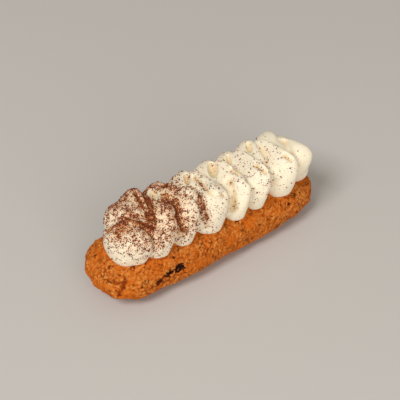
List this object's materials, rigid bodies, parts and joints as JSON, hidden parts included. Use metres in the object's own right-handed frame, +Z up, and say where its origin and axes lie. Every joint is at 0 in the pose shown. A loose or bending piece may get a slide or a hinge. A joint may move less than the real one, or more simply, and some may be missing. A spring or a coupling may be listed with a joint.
{
  "type": "eclair with piped cream",
  "caption": "Baked choux eclair with a crackled crust and a zigzag of piped whipped cream dusted with cocoa along its top.",
  "frame": {"origin": "middle of the finished box, at the level of the flat underside", "axes": "+X along the eclair towards the end where the cream stops last, -Y the side seen in the picture, +Z up through the cream"},
  "size_m": [0.1316, 0.04, 0.0458],
  "materials": {
    "crust": "dry baked crust, crackled and matt",
    "cream": "soft satin whipped cream",
    "cocoa": "dry powder"
  },
  "bodies": {
    "root": {"shell": "crust", "cream": "cream"}
  },
  "joints": []
}
